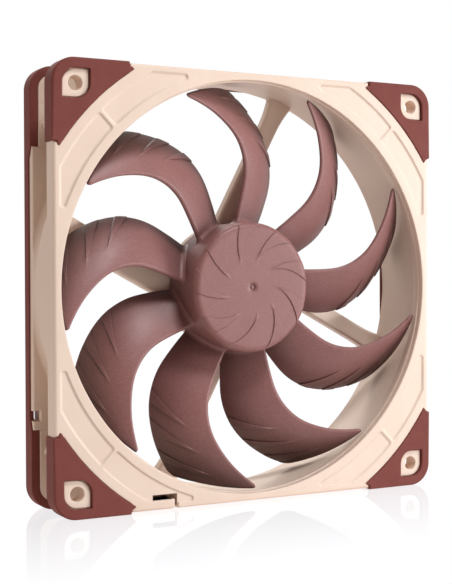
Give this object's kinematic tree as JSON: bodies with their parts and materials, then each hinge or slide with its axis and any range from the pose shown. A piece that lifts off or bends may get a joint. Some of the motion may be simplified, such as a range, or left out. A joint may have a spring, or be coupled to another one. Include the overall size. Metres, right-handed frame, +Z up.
{
  "type": "case fan",
  "caption": "Square axial case fan: open-corner frame with soft corner pads and a rear gasket, swept crescent blades on a sleeve-bearing rotor, and corner mounting holes.",
  "frame": {"origin": "middle of the bottom edge, halfway through the depth over the pads", "axes": "+Z up, -Y out of the intake side, +Y out of the exhaust side, +X to the right seen from the intake side; the rotor turns about Y at height 0.07 m"},
  "size_m": [0.14, 0.0262, 0.14],
  "materials": {
    "frame_plastic": "fine satin moulding grain",
    "silicone": "matte soft moulding",
    "rotor_plastic": "satin with a fine fibre speckle",
    "plated_steel": "deep drawn, plated",
    "polished_steel": "ground and polished",
    "spring_steel": "blued",
    "lamination_steel": "stamped laminations",
    "magnet": "bonded ferrite, matte",
    "brass": "turned",
    "sintered_bronze": "sintered, oil filled",
    "seal_rubber": "matte",
    "bearing_polymer": "smooth",
    "bobbin_plastic": "satin",
    "copper_wire": "enamelled wire",
    "board": "solder mask",
    "chip": "moulded package",
    "ceramic": "ceramic chips",
    "label_film": "plain film"
  },
  "bodies": {
    "housing": {"frame": "frame_plastic", "front_pad_top_left": "silicone", "front_pad_top_right": "silicone", "front_pad_bottom_left": "silicone", "front_pad_bottom_right": "silicone", "rear_gasket": "silicone", "bearing_tube": "brass", "bearing_sleeve": "sintered_bronze", "oil_seal_washer": "seal_rubber", "stabilising_magnet": "magnet", "thrust_disc": "bearing_polymer", "stator_core": "lamination_steel", "front_insulator": "bobbin_plastic", "rear_insulator": "bobbin_plastic", "windings": "copper_wire", "terminal_pins": "plated_steel", "circuit_board": "board", "driver_chip": "chip", "hall_sensor": "chip", "smd_parts": "ceramic", "hub_label": "label_film"},
    "rotor": {"impeller": "rotor_plastic", "rotor_yoke": "plated_steel", "ring_magnet": "magnet", "shaft_boss": "brass", "shaft": "polished_steel", "retaining_clip": "spring_steel"}
  },
  "joints": [
    {"name": "rotor_spin", "type": "hinge", "parent": "housing", "child": "rotor", "pos_m": [0, 0, 0.07], "axis": [0, -1, 0], "continuous": true}
  ]
}
